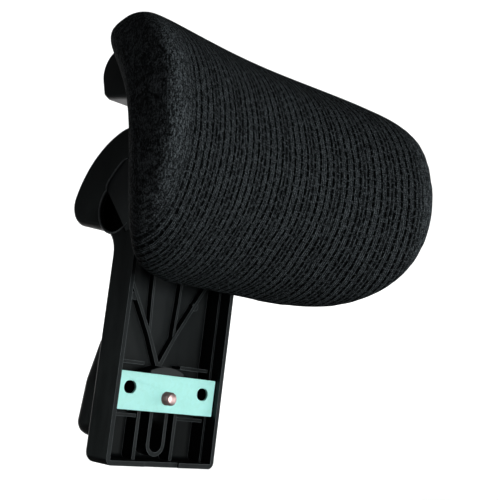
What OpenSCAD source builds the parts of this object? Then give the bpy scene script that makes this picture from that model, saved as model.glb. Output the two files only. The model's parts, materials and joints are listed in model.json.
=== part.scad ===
// Chair headrest attachment.
// A steel mounting plate and a hand knob clamp a channel-shaped support arm, which slides up and
// down on the clamp bolt. The arm's rounded head holds a friction pivot for a tilt link, and the
// link's upper end carries a padded, saddle-shaped pillow on a second friction pivot.
// Axes: +X to the right seen from the front, +Y to the rear, +Z up. The origin is the middle of the
// two mounting slots, on the plate's front face. Sizes are in millimetres.

/* [Mounting plate] */
// Width of the steel plate
plate_w = 77; // [70:1:77]
// Height of the steel plate
plate_h = 22.4; // [20:0.1:22.4]
// Height of the plate's middle below the mounting slots
plate_drop = 2; // [1:0.1:2.5]
// Thickness of the steel plate
plate_t = 2; // [1.5:0.5:3]
// Distance between the two mounting slots
slot_spacing = 57.6; // [50:0.1:60]
// Width of each mounting slot
hole_w = 7.4; // [5:0.1:9]
// End-to-end length of each mounting slot
hole_len = 9; // [9:0.1:12]

/* [Clamp] */
// Diameter of the clamp bolt (M8)
bolt_d = 8; // [6:1:8]
// Height of the clamp bolt below the mounting slots
bolt_drop = 4.6; // [3:0.1:6]
// How far the bolt stands out in front of the plate
bolt_tip = 5.4; // [3:0.1:8]
// Radius of the knob's rounded corners
knob_corner_r = 8; // [6:1:12]
// Distance of the knob's corner centres from its axis
knob_corner_at = 33; // [30:1:35]

/* [Support arm] */
// Width of the arm
arm_w = 84; // [84:1:90]
// How far the arm's front edges stand in front of the plate's front face
arm_front = 3.4; // [2:0.1:5]
// Rear face of the arm behind the plate's front face
arm_rear = 19; // [18:0.5:22]
// Bottom of the arm below the mounting slots
arm_foot = 45; // [42:1:50]
// Wall thickness of the arm
arm_wall = 2.8; // [2.4:0.1:3.2]

/* [Tilt link] */
// Tilt axis behind the plate's front face
tilt_y = 21.6; // [20:0.1:23]
// Tilt axis above the mounting slots
tilt_z = 112.8; // [110:0.1:115]
// Width of the link's neck
neck_w = 26; // [20:1:26]

/* [Pillow] */
// Half the length of the pillow
pillow_half = 109.5; // [100:0.5:120]
// Half the height of the pillow at its waist
pillow_half_h = 70; // [64:1:74]
// Thickness of the pillow at its waist
pillow_t = 68; // [60:1:72]
// How far the pillow leans back
pillow_lean = 19.3; // [15:0.1:22]
// How far the pillow's ends wrap forward
pillow_wrap = 34; // [25:1:40]

/* [Hidden] */
$fn = 64;
eps = 0.01;
fit_gap = 0.05;       // radial clearance of a running fit
play = 0.1;           // clearance between faces that slide on each other
bolt_r = bolt_d / 2;
hex_af = 13;          // width across flats of an M8 hexagon
hex_head_t = 5.3;
hex_nut_t = 6.5;

// Clamp stack, front to rear.
pad_t = 2.9;
rim_y = plate_t + pad_t + play;          // front edge of the rim around the arm's long slot
washer_t = 1.6;
washer_y = arm_rear + play;
knob_y = washer_y + washer_t;
knob_flare_y = 22.4;
knob_end_y = 41;
knob_belly_r = 33.2;                     // the sides bulge to this distance from the axis
knob_turn_a = 35;                        // first corner, at rest

// Arm section.
in_x = arm_w / 2 - arm_wall;             // inner face of a side wall
floor_t = 3;
floor_y = arm_rear - floor_t;
rib_t = 2.4;
rib_x = 14.5;
rib_y = 6.5;
ledge_y = 5.3;
slot_half = 4.8;
slot_low = -32.4;                        // centres of the long slot's two ends
slot_high = 5.4;
rim_t = 2.4;

// Arm outline seen from the side. The crown, nose and brow arcs are tangent to each other.
heel_r = 6;
crown_c = [1.55, 90.8];
crown_r = 67.5;
nose_a = 19.2;
nose_r = 14;
nose_c = crown_c + (crown_r - nose_r) * [cos(nose_a), sin(nose_a)];
brow_a = 68;
brow_r = 25;
brow_c = crown_c + (crown_r - brow_r) * [cos(brow_a), sin(brow_a)];
under_r = 15.5;
under_c = [arm_rear + under_r, 76];
under_span = nose_c - under_c;
under_a = atan2(under_span[1], under_span[0])
    - asin((nose_r + under_r) / norm(under_span));

// Tilt pivot.
tilt_c = [tilt_y, tilt_z];
access_c = [20.4, 104.8];                // round part of the opening in each side wall
access_r = 15.4;
cap_t = 2.2;
// Corners (y, z) of the cap over the rest of the opening.
cap_corners = [[7.9, 89.6], [30.4, 114.4], [32, 119.6], [19.3, 133], [9, 136.5], [2.5, 133],
               [2.5, 93]];
cap_leg_places = [[5.2, 97], [5.2, 129], [17, 131.5]];
web_in = 28;
web_t = 3;
web_out = web_in + web_t;
hub_half = 26.9;
hub_r = 13;
bush_r = 5.6;
neck_slot_half = neck_w / 2 + 2;

// Pillow frame: eta points out of the pillow's back, zeta points up along it.
pillow_c = [-49.5, 139.1];
back_r = 135;                            // plan radius of the rear shell
shell_eta = 33.4;                        // outer face of the rear shell at its middle
back_c = shell_eta - back_r;             // eta of the axis that shell and board curve around
shell_t = 3;
board_eta = 28;
board_t = 3;
shell_half = 64;
shell_low = -47;
shell_high = 63;
board_margin = 5;
skin_t = 1.8;
well_gap = 2.4;

// Upper hinge, in the pillow frame.
hinge_eta = 50.7;
hinge_zeta = 62.1;
ear_in = 15.1;
ear_t = 3;
ear_out = ear_in + ear_t;
ear_r = 10;
eye_half = 14;
eye_r = 10.5;
base_eta = shell_eta + 0.2;
base_t = 3;
ledge_zeta = 62.7;                       // the cover steps back here, over the pillow's top edge
housing_half = 56;
housing_wall = 2.5;
housing_arc_c = [49, 66];
housing_arc_r = 15.2;
hinge_c = pillow_c + hinge_eta * [cos(pillow_lean), -sin(pillow_lean)]
    + hinge_zeta * [sin(pillow_lean), cos(pillow_lean)];

// Points along an arc, for outlines.
function arc(c, r, a0, a1, n = 14) =
    [for (i = [0:n]) let (a = a0 + (a1 - a0) * i / n) c + r * [cos(a), sin(a)]];

// Side outline of the arm, set in by t on every side but the open front.
function arm_outline(t = 0) =
    let (front = t > 0 ? -arm_front - 20 : -arm_front,
         brow_end = 180 - acos((brow_c[0] + arm_front) / (brow_r - t)))
    concat([[front, -arm_foot + t]],
           arc([arm_rear - heel_r, -arm_foot + heel_r], heel_r - t, -90, 0, 6),
           arc(under_c, under_r + t, 180, 90 + under_a, 8),
           arc(nose_c, nose_r - t, under_a - 90, nose_a, 10),
           arc(crown_c, crown_r - t, nose_a, brow_a, 14),
           arc(brow_c, brow_r - t, brow_a, brow_end, 12),
           t > 0 ? [[front, brow_c[1] + (brow_r - t) * sin(brow_end)]] : []);

// Pillow surface. u runs along the pillow from -1 to 1, v around its section.
section_pow = 3;
end_pow = 3.95;
function power(x, p) = sign(x) * pow(abs(x), p);
function end_cap(u) = pow(max(0, 1 - pow(abs(u), end_pow)), 1 / end_pow);
function pillow_point(u, v, inset) =
    let (cap = end_cap(u),
         rise = sin(v) > 0 ? 1 : 20,
         curl = sin(v) > 0 ? 18 + 22 * u * u : 31 - 13 * u * u,
         half_h = (pillow_half_h + rise * u * u) * cap - inset,
         half_t = (pillow_t / 2 - 10 * u * u) * sqrt(cap) - inset,
         zeta = half_h * power(sin(v), 2 / section_pow),
         eta = half_t * power(cos(v), 2 / section_pow)
             + curl * pow(zeta / pillow_half_h, 2) - pillow_wrap * u * u)
    [(pillow_half - inset) * u, eta, zeta];

// Turns children drawn as (y, z) outlines into solids that run across the arm, from x0 to x1.
module across(x0, x1) {
    translate([x0, 0, 0]) rotate([90, 0, 90]) linear_extrude(x1 - x0) children();
}

// The same on both sides of the middle plane.
module both_sides(x0, x1) {
    across(x0, x1) children();
    across(-x1, -x0) children();
}

// Places children drawn in the pillow frame (x, eta, zeta).
module pillow_frame() {
    translate([0, pillow_c[0], pillow_c[1]]) rotate([-pillow_lean, 0, 0]) children();
}

// A round bar or ring along X, around the point c of the (y, z) plane.
module round_x(c, r, x0, x1, r_in = 0) {
    translate([x0, c[0], c[1]]) rotate([0, 90, 0]) difference() {
        cylinder(r = r, h = x1 - x0);
        if (r_in > 0) translate([0, 0, -1]) cylinder(r = r_in, h = x1 - x0 + 2);
    }
}

// A round bar or ring along Y on the clamp axis.
module round_y(r, y0, y1, r_in = 0) {
    translate([0, y0, -bolt_drop]) rotate([-90, 0, 0]) difference() {
        cylinder(r = r, h = y1 - y0);
        if (r_in > 0) translate([0, 0, -1]) cylinder(r = r_in, h = y1 - y0 + 2);
    }
}

// A hexagon along X with a hole of radius r_in.
module hex_x(c, x0, x1, r_in = 0) {
    translate([x0, c[0], c[1]]) rotate([0, 90, 0]) difference() {
        cylinder(d = hex_af / cos(30), h = x1 - x0, $fn = 6);
        if (r_in > 0) translate([0, 0, -1]) cylinder(r = r_in, h = x1 - x0 + 2);
    }
}

// Upright slot of half-width w between two end centres, running from y0 to y1.
module upright_slot(w, z0, z1, y0, y1) {
    for (z = [z0, z1])
        translate([0, y0, z]) rotate([-90, 0, 0]) cylinder(r = w, h = y1 - y0);
    translate([-w, y0, z0]) cube([2 * w, y1 - y0, z1 - z0]);
}

// Rectangle with rounded corners, centred on x, from z0 to z1.
module rounded_panel(half, z0, z1, r) {
    translate([-half + r, z0]) square([2 * (half - r), z1 - z0]);
    translate([-half, z0 + r]) square([2 * half, z1 - z0 - 2 * r]);
    for (x = [-half + r, half - r], z = [z0 + r, z1 - r])
        translate([x, z]) circle(r = r);
}

// ---- Clamp -------------------------------------------------------------------------------------

module mount_plate() {
    color("lightcyan") difference() {
        translate([-plate_w / 2, 0, -plate_drop - plate_h / 2]) cube([plate_w, plate_t, plate_h]);
        for (x = [-slot_spacing / 2, slot_spacing / 2], s = [-1, 1])
            translate([x + s * (hole_len - hole_w) / 2, -1, 0])
                rotate([-90, 0, 0]) cylinder(d = hole_w, h = plate_t + 2);
        for (x = [-slot_spacing / 2, slot_spacing / 2])
            translate([x - (hole_len - hole_w) / 2, -1, -hole_w / 2])
                cube([hole_len - hole_w, plate_t + 2, hole_w]);
        round_y(bolt_r + fit_gap, -1, plate_t + 1);
    }
}

// Pad with an arched top, between the plate and the rim of the arm's slot.
module backing_pad() {
    half = 13.2;
    top = 13.8;
    low = -11;
    color("dimgray") difference() {
        intersection() {
            translate([-half, plate_t, low]) cube([2 * half, pad_t, top - low]);
            translate([0, plate_t - 1, -17.7])
                rotate([-90, 0, 0]) cylinder(r = 31.5, h = pad_t + 2, $fn = 96);
        }
        round_y(bolt_r + 0.3, plate_t - 1, plate_t + pad_t + 1);
    }
}

module clamp_bolt() {
    color("rosybrown") union() {
        round_y(bolt_r, -bolt_tip + 0.8, knob_y + 10);
        translate([0, -bolt_tip, -bolt_drop]) rotate([-90, 0, 0])
            cylinder(r1 = bolt_r - 0.8, r2 = bolt_r, h = 0.8);
    }
}

// Steel insert that the knob is moulded around.
module knob_insert() {
    color("silver") round_y(7, knob_y, knob_y + 14, bolt_r);
}

// Thin slice of the knob at y: a square with rounded corners and bulging sides.
module knob_slice(y, grow) {
    translate([0, y, -bolt_drop]) rotate([90, 0, 0]) linear_extrude(eps) {
        circle(r = knob_belly_r + grow, $fn = 96);
        for (a = [0:90:270])
            rotate(knob_turn_a + a) translate([knob_corner_at, 0])
                circle(r = knob_corner_r + grow, $fn = 48);
    }
}

module clamp_knob() {
    color("black") difference() {
        union() {
            round_y(15, knob_y, knob_flare_y + 1);
            hull() {
                knob_slice(knob_flare_y + eps, 1.2);
                knob_slice(knob_end_y - 4, 0);
                knob_slice(knob_end_y, -3);
            }
        }
        round_y(7, knob_y - 1, knob_y + 14);
        round_y(14, knob_end_y - 5, knob_end_y + 1);
    }
}

module knob_cap() {
    color("dimgray") round_y(13.9, knob_end_y - 4.9, knob_end_y - 0.6);
}

module knob_washer() {
    color("silver") round_y(14, washer_y, washer_y + washer_t, bolt_r + 0.2);
}

// ---- Support arm -------------------------------------------------------------------------------

// Upright ribs beside the slot, joined by an arch at the top.
module track_ribs() {
    arch_z = -1.6;
    for (s = [-1, 1])
        translate([s * rib_x - rib_t / 2, rib_y, -arm_foot + 1])
            cube([rib_t, floor_y - rib_y + 1, arch_z + arm_foot - 1]);
    intersection() {
        translate([0, rib_y, arch_z]) rotate([-90, 0, 0]) difference() {
            cylinder(r = rib_x + rib_t / 2, h = floor_y - rib_y + 1);
            translate([0, 0, -1]) cylinder(r = rib_x - rib_t / 2, h = floor_y - rib_y + 3);
        }
        translate([-30, 0, arch_z]) cube([60, 30, 30]);
    }
}

// Diagonal ribs that meet in a V, two upright fins between them, and two ejector bosses.
module brace_ribs() {
    rib_front = 11.5;
    fin_front = 12.2;
    for (s = [-1, 1])
        translate([0, floor_y + 1, 0]) rotate([90, 0, 0]) {
            linear_extrude(floor_y + 1 - rib_front)
                polygon([[s * -1, 14], [s * 2.2, 14], [s * 10.6, 31], [s * 38, 76],
                         [s * 35.8, 76], [s * 8.6, 32]]);
            linear_extrude(floor_y + 1 - fin_front)
                polygon([[s * 8.6, 31], [s * 10.4, 31], [s * 11.6, 54], [s * 12.6, 80],
                         [s * 10.8, 80], [s * 9.9, 54]]);
            translate([s * 24.6, 53.8]) cylinder(r = 2.6, h = floor_y + 1 - fin_front);
        }
}

module side_ledges() {
    ledge_t = 1.6;
    ledge_top = 78;
    for (s = [-1, 1]) {
        translate([s > 0 ? in_x - ledge_t : -in_x - 0.5, ledge_y, -arm_foot + 1])
            cube([ledge_t + 0.5, floor_y - ledge_y + 1, ledge_top + arm_foot]);
        for (z = [-17.5, 13.6])
            translate([s > 0 ? rib_x : -in_x, rib_y + 1, z])
                cube([in_x - rib_x, floor_y - rib_y, 2]);
    }
}

module support_arm() {
    notch_half = 13.3;
    web_front = 6;
    color("black") difference() {
        union() {
            difference() {
                across(-arm_w / 2, arm_w / 2) polygon(arm_outline());
                across(-in_x, in_x) polygon(arm_outline(floor_t));
            }
            track_ribs();
            brace_ribs();
            side_ledges();
            upright_slot(slot_half + rim_t, slot_low, slot_high, rim_y, floor_y + 1);
            // Bearing webs for the tilt bolt.
            intersection() {
                both_sides(web_in, web_out) polygon(arm_outline(1));
                translate([-in_x, web_front, 88]) cube([2 * in_x, 80, 80]);
            }
        }
        upright_slot(slot_half, slot_low, slot_high, rim_y - 1, arm_rear + 1);
        // Shallow step in the bottom edge between the ribs.
        translate([-notch_half, -arm_front - 1, -arm_foot - 1])
            cube([2 * notch_half, 2.2, floor_t + 2]);
        // Access openings in the side walls, over the ends of the tilt bolt.
        both_sides(web_out, arm_w / 2 + 1) {
            translate(access_c) circle(r = access_r);
            polygon(cap_corners);
        }
        round_x(tilt_c, bolt_r + fit_gap, -web_out - 1, web_out + 1);
        // Slot for the link's neck, open to the front.
        across(-neck_slot_half, neck_slot_half)
            polygon([tilt_c + 14 * [cos(54), sin(54)], tilt_c + 70 * [cos(54), sin(54)],
                     tilt_c + [-60, 60], tilt_c + [-60, 0], tilt_c + [-14, 0]]);
    }
}

// Snap-in cap over the front part of an access opening, with short legs inside the wall.
module access_cap(side) {
    leg_half = 2;
    leg_len = 4;
    outer_x = arm_w / 2 - 0.4;
    middle = [17, 113];
    shrink = 0.004;
    mirror([side < 0 ? 1 : 0, 0, 0]) {
        across(outer_x - cap_t, outer_x)
            polygon([for (p = cap_corners) p + (middle - p) * shrink]);
        across(outer_x - cap_t - leg_len, outer_x - cap_t + eps) for (p = cap_leg_places)
            translate(p - [leg_half, leg_half]) square(2 * leg_half);
    }
}

module left_access_cap() { color("dimgray") access_cap(-1); }
module right_access_cap() { color("dimgray") access_cap(1); }

// ---- Tilt pivot --------------------------------------------------------------------------------

spring_t = 0.9;
spring_count = 2;

module tilt_bolt() {
    color("silver") union() {
        round_x(tilt_c, bolt_r, -web_out - eps, web_out + spring_count * spring_t + hex_nut_t);
        hex_x(tilt_c, -web_out - hex_head_t, -web_out);
    }
}

module tilt_nut() {
    x0 = web_out + spring_count * spring_t;
    color("silver") hex_x(tilt_c, x0, x0 + hex_nut_t - 0.6, bolt_r);
}

module tilt_disc_springs() {
    color("gray") for (i = [0:spring_count - 1])
        round_x(tilt_c, 8, web_out + i * spring_t, web_out + (i + 1) * spring_t - 0.1,
                bolt_r + 0.1);
}

module tilt_friction_discs() {
    for (s = [-1, 1])
        color("tan") round_x(tilt_c, hub_r - 1, s > 0 ? hub_half : -web_in,
                             s > 0 ? web_in : -hub_half, bolt_r + 0.3);
}

// Link: a hub between the arm's webs, a neck, and an eye between the bracket's ears.
module tilt_link() {
    neck_low = 8.5;
    neck_high = 7.5;
    along = hinge_c - tilt_c;
    side = [-along[1], along[0]] / norm(along);
    color("black") difference() {
        union() {
            round_x(tilt_c, hub_r, -hub_half + play, hub_half - play);
            across(-neck_w / 2, neck_w / 2)
                polygon([tilt_c + neck_low * side, tilt_c - neck_low * side,
                         hinge_c - neck_high * side, hinge_c + neck_high * side]);
            round_x(hinge_c, eye_r, -eye_half + play, eye_half - play);
        }
        round_x(tilt_c, bush_r, -hub_half - 1, hub_half + 1);
        round_x(hinge_c, bush_r, -eye_half - 1, eye_half + 1);
    }
}

module lower_bush() {
    color("peru") round_x(tilt_c, bush_r, -hub_half + play, hub_half - play, bolt_r + fit_gap);
}

module upper_bush() {
    color("peru") round_x(hinge_c, bush_r, -eye_half + play, eye_half - play, bolt_r + fit_gap);
}

// ---- Upper hinge -------------------------------------------------------------------------------

module hinge_bracket() {
    base_half = 37;
    base_low = 46.5;
    base_high = 59.8;
    ear_low = hinge_zeta - ear_r + 0.8;
    color("silver") difference() {
        union() {
            pillow_frame() translate([-base_half, base_eta, base_low])
                cube([2 * base_half, base_t, base_high - base_low]);
            pillow_frame() both_sides(ear_in, ear_out) {
                translate([hinge_eta, hinge_zeta]) circle(r = ear_r);
                polygon([[base_eta + 1, ear_low], [hinge_eta - 1, ear_low],
                         [hinge_eta - 1, hinge_zeta], [base_eta + 1, base_high - 0.5]]);
            }
        }
        round_x(hinge_c, bolt_r + fit_gap, -ear_out - 1, ear_out + 1);
        bracket_screw_places() cylinder(d = 4.4, h = 12, center = true);
    }
}

// Four screws through the bracket's base and the rear shell, into the board.
module bracket_screw_places() {
    pillow_frame() for (x = [-32, -23, 23, 32])
        translate([x, base_eta + base_t, 53.5]) rotate([-90, 0, 0]) children();
}

// A pan-head screw with its head's underside at z = 0 and its shank pointing to -z.
module pan_screw(d, length, head_d, head_t) {
    translate([0, 0, -length]) cylinder(d = d, h = length + eps);
    difference() {
        cylinder(d = head_d, h = head_t);
        translate([0, 0, head_t - 1]) for (a = [0, 90])
            rotate(a) translate([-head_d / 3, -0.6, 0]) cube([head_d / 1.5, 1.2, 2]);
    }
}

module bracket_screws() {
    color("silver") bracket_screw_places() pan_screw(4, 12.5, 8, 2.4);
}

module hinge_bolt() {
    color("silver") union() {
        round_x(hinge_c, bolt_r, -ear_out - eps, ear_out + 2 * spring_t + hex_nut_t);
        hex_x(hinge_c, -ear_out - hex_head_t, -ear_out);
    }
}

module hinge_nut() {
    x0 = ear_out + 2 * spring_t;
    color("silver") hex_x(hinge_c, x0, x0 + hex_nut_t - 0.6, bolt_r);
}

module hinge_disc_springs() {
    color("gray") for (i = [0, 1])
        round_x(hinge_c, 8, ear_out + i * spring_t, ear_out + (i + 1) * spring_t - 0.1,
                bolt_r + 0.1);
}

module hinge_friction_discs() {
    for (s = [-1, 1])
        color("tan") round_x(hinge_c, ear_r - 1, s > 0 ? eye_half : -ear_in,
                             s > 0 ? ear_in : -eye_half, bolt_r + 0.3);
}

// Outline of the hinge cover in the pillow frame (eta, zeta), set in by t.
function housing_outline(t) =
    let (front = 20,
         step = 38.4,
         rear = housing_arc_c[0] + housing_arc_r)
    concat([[front - t, 33.9 + t * 1.1], [61 - t * 0.6, 52.6 + t * 1.1],
            [rear - t, 57 + t * 0.5]],
           arc(housing_arc_c, housing_arc_r - t, 0, 100, 12),
           [[step + 1.5 + t, 79 - t], [step + t / 2, 77 - t],
            [step + t / 2, ledge_zeta - t], [front - t, ledge_zeta - t]]);

module hinge_cover() {
    slot_half_x = neck_w / 2 + 2;
    wall_x = housing_half - housing_wall;
    boss_x = 46;
    color("black") difference() {
        pillow_frame() difference() {
            union() {
                difference() {
                    across(-housing_half, housing_half) polygon(housing_outline(0));
                    across(-wall_x, wall_x) polygon(housing_outline(housing_wall));
                }
                for (s = [-1, 1])
                    translate([s > 0 ? boss_x : -housing_half + 1, 20, 45])
                        cube([housing_half - boss_x - 1, 10, 11]);
            }
            // Front edges follow the curve of the rear shell.
            translate([0, back_c, 0]) cylinder(r = back_r + 0.3, h = 200, $fn = 180);
            // Slot for the neck in the underside and the rear wall.
            translate([-slot_half_x, 42, 30]) cube([2 * slot_half_x, 30, 34]);
        }
        cover_screw_places() cylinder(d = 3, h = 16, center = true);
    }
}

// Two screws that reach the cover's end bosses through the rear shell, from inside.
module cover_screw_places() {
    x = 51;
    inner_r = back_r - shell_t;
    for (s = [-1, 1])
        pillow_frame()
            translate([s * x, back_c + sqrt(inner_r * inner_r - x * x), 50.5])
                rotate([90, 0, 0]) children();
}

module cover_screws() {
    color("silver") cover_screw_places() pan_screw(3, 7.5, 5.6, 1.5);
}

// ---- Pillow ------------------------------------------------------------------------------------

// A curved panel of the pillow's back, with its outer face at eta in the middle.
module curved_panel(eta, t, half, low, high, r) {
    outer_r = eta - back_c;
    intersection() {
        translate([0, back_c, low - 1]) difference() {
            cylinder(r = outer_r, h = high - low + 2, $fn = 180);
            translate([0, 0, -1]) cylinder(r = outer_r - t, h = high - low + 4, $fn = 180);
        }
        rotate([90, 0, 0]) mirror([0, 0, 1]) linear_extrude(80)
            rounded_panel(half, low, high, r);
    }
}

module rear_shell() {
    boss_len = 4;
    pad_len = 5.6;
    color("black") difference() {
        union() {
            pillow_frame()
                curved_panel(shell_eta, shell_t, shell_half, shell_low, shell_high, 12);
            shell_screw_places() translate([0, 0, -boss_len]) cylinder(r = 4.5, h = boss_len - 1);
            bracket_screw_places() translate([0, 0, -base_t - pad_len])
                cylinder(r = 4.2, h = pad_len);
        }
        shell_screw_places() translate([0, 0, -12]) cylinder(d = 4, h = 30);
        shell_screw_places() cylinder(d = 7.8, h = 5);
        bracket_screw_places() translate([0, 0, -14]) cylinder(d = 4, h = 30);
        cover_screw_places() cylinder(d = 3, h = 12, center = true);
    }
}

// Four screws near the shell's corners.
module shell_screw_places() {
    for (x = [-46, 46], z = [-36, 24])
        pillow_frame()
            translate([x, back_c + sqrt(back_r * back_r - x * x), z])
                rotate([-90, 0, 0]) children();
}

module shell_screws() {
    color("silver") shell_screw_places() pan_screw(4, 8, 7.4, 2.2);
}

module core_board() {
    half = shell_half + board_margin;
    color("burlywood") difference() {
        pillow_frame() curved_panel(board_eta, board_t, half, shell_low - board_margin,
                                    shell_high - 3, 16);
        shell_screw_places() translate([0, 0, -12]) cylinder(d = 4, h = 20);
        bracket_screw_places() translate([0, 0, -14]) cylinder(d = 4, h = 20);
    }
}

// Saddle-shaped body: two lobes with a waist, ends wrapped forward, a hollow back.
module pillow_body(inset) {
    n_u = 13;
    n_v = 36;
    rings = [for (i = [-n_u:n_u]) [for (j = [0:n_v - 1])
        pillow_point(0.9995 * sin(90 * i / n_u), 360 * (j + 0.5) / n_v, inset)]];
    count = len(rings);
    polyhedron(
        points = [for (ring = rings) for (p = ring) p],
        faces = concat(
            [[for (j = [0:n_v - 1]) j]],
            [for (i = [0:count - 2], j = [0:n_v - 1]) let (k = (j + 1) % n_v)
                [i * n_v + j, (i + 1) * n_v + j, (i + 1) * n_v + k]],
            [for (i = [0:count - 2], j = [0:n_v - 1]) let (k = (j + 1) % n_v)
                [i * n_v + j, (i + 1) * n_v + k, i * n_v + k]],
            [[for (j = [n_v - 1:-1:0]) (count - 1) * n_v + j]]));
}

// Space behind the curve at eta, within a rounded outline.
module back_well(eta, half, low, high, r) {
    intersection() {
        difference() {
            translate([-half - 1, -40, low - 1]) cube([2 * half + 2, 120, high - low + 2]);
            translate([0, back_c, low - 2])
                cylinder(r = eta - back_c, h = high - low + 4, $fn = 180);
        }
        rotate([90, 0, 0]) mirror([0, 0, 1]) linear_extrude(90)
            rounded_panel(half, low, high, r);
    }
}

module foam_pad() {
    board_half = shell_half + board_margin + 0.5;
    color("gainsboro") pillow_frame() difference() {
        pillow_body(skin_t + 0.2);
        back_well(board_eta - board_t - 0.2, board_half, shell_low - board_margin - 0.5,
                  shell_high + well_gap + 0.1, 16);
    }
}

module mesh_cover() {
    color("black") pillow_frame() difference() {
        pillow_body(0);
        pillow_body(skin_t);
        back_well(board_eta - board_t - 0.2, shell_half + well_gap, shell_low - well_gap,
                  shell_high + well_gap, 12);
    }
}

// Elastic welt that holds the cover's edge around the rear shell.
module hem_welt() {
    side = 0.1;
    outer = well_gap - side;
    color("dimgray") pillow_frame() difference() {
        curved_panel(shell_eta + 0.6, 3, shell_half + outer, shell_low - outer,
                     shell_high + outer, 12);
        back_well(10, shell_half + side, shell_low - side, shell_high + side, 12);
    }
}

mount_plate();
backing_pad();
clamp_bolt();
clamp_knob();
knob_insert();
knob_cap();
knob_washer();
support_arm();
left_access_cap();
right_access_cap();
tilt_bolt();
tilt_nut();
tilt_disc_springs();
tilt_friction_discs();
tilt_link();
lower_bush();
upper_bush();
hinge_bracket();
hinge_bolt();
hinge_nut();
hinge_disc_springs();
hinge_friction_discs();
rear_shell();
hinge_cover();
bracket_screws();
cover_screws();
core_board();
shell_screws();
foam_pad();
mesh_cover();
hem_welt();
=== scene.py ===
"""Looks for the chair headrest attachment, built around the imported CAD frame.

Every piece is in metres in the CAD's own frame: +X to the right seen from the front, +Y to the rear, +Z up.
Plastic and steel pieces are copies of the CAD nodes with rounded edges. The knob, the threaded bolt, the
beads at the arm's side openings, the padded pillow and the piping around its back are built here.
"""

import json
import math

import bmesh
import bpy
import numpy as np
from mathutils import Matrix, Vector, interpolate
from mathutils.bvhtree import BVHTree


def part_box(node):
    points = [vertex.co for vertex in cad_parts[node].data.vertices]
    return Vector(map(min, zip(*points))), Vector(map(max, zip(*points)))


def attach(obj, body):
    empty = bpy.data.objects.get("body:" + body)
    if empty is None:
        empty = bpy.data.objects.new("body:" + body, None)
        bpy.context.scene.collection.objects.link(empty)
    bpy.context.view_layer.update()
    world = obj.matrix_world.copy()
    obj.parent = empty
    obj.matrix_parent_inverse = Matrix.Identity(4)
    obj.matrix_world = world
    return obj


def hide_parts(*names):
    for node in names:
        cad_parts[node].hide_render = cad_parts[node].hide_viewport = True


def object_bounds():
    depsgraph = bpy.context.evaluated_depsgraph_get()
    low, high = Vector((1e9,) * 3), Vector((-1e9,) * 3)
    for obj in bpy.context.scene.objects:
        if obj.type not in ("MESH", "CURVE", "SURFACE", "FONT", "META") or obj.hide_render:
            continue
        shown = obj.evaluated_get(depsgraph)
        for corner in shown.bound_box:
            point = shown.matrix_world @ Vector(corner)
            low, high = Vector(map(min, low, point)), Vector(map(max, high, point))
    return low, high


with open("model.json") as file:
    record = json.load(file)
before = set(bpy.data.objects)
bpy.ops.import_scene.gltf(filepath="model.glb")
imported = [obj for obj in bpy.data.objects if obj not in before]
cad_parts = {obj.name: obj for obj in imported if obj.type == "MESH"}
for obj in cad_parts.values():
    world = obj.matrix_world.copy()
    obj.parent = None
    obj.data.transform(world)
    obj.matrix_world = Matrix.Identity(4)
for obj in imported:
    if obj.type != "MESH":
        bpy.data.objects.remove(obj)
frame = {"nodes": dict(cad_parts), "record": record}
cad_low, cad_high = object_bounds()

MM = 0.001
RECORD = frame["record"]
BODY_OF = {n: body for body, members in RECORD["behaviour"]["bodies"].items() for n in members}
SLOT_OF = {row["node"]: row["material_slot"] for row in RECORD["subparts"]}
JOINT = {joint["name"]: joint for joint in RECORD["behaviour"]["joints"]}


# ---- Small helpers ----------------------------------------------------------------------------------

def new_piece(name, points, faces):
    """A mesh object from a list of points in metres and a list of faces."""
    mesh = bpy.data.meshes.new(name)
    mesh.from_pydata([tuple(p) for p in points], [], faces)
    mesh.update()
    piece = bpy.data.objects.new(name, mesh)
    bpy.context.scene.collection.objects.link(piece)
    return piece


def settle(piece):
    """Applies every modifier of the piece to its mesh."""
    graph = bpy.context.evaluated_depsgraph_get()
    done = bpy.data.meshes.new_from_object(piece.evaluated_get(graph))
    old = piece.data
    piece.modifiers.clear()
    piece.data = done
    bpy.data.meshes.remove(old)
    return piece


def shade(piece, sharp_angle=35):
    """Smooth shading with edges kept sharp above the angle, in degrees."""
    mesh = piece.data
    mesh.polygons.foreach_set("use_smooth", [True] * len(mesh.polygons))
    mesh.set_sharp_from_angle(angle=math.radians(sharp_angle))


def outward(piece):
    """Turns every face of a closed mesh outward."""
    bm = bmesh.new()
    bm.from_mesh(piece.data)
    bmesh.ops.recalc_face_normals(bm, faces=bm.faces)
    bm.to_mesh(piece.data)
    bm.free()


def finish_piece(piece, node, material):
    """Gives the piece its material and its body, and hides the CAD node it stands for."""
    piece.data.materials.clear()
    piece.data.materials.append(material)
    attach(piece, BODY_OF[node])
    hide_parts(node)
    return piece


# ---- Material nodes ---------------------------------------------------------------------------------

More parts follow.
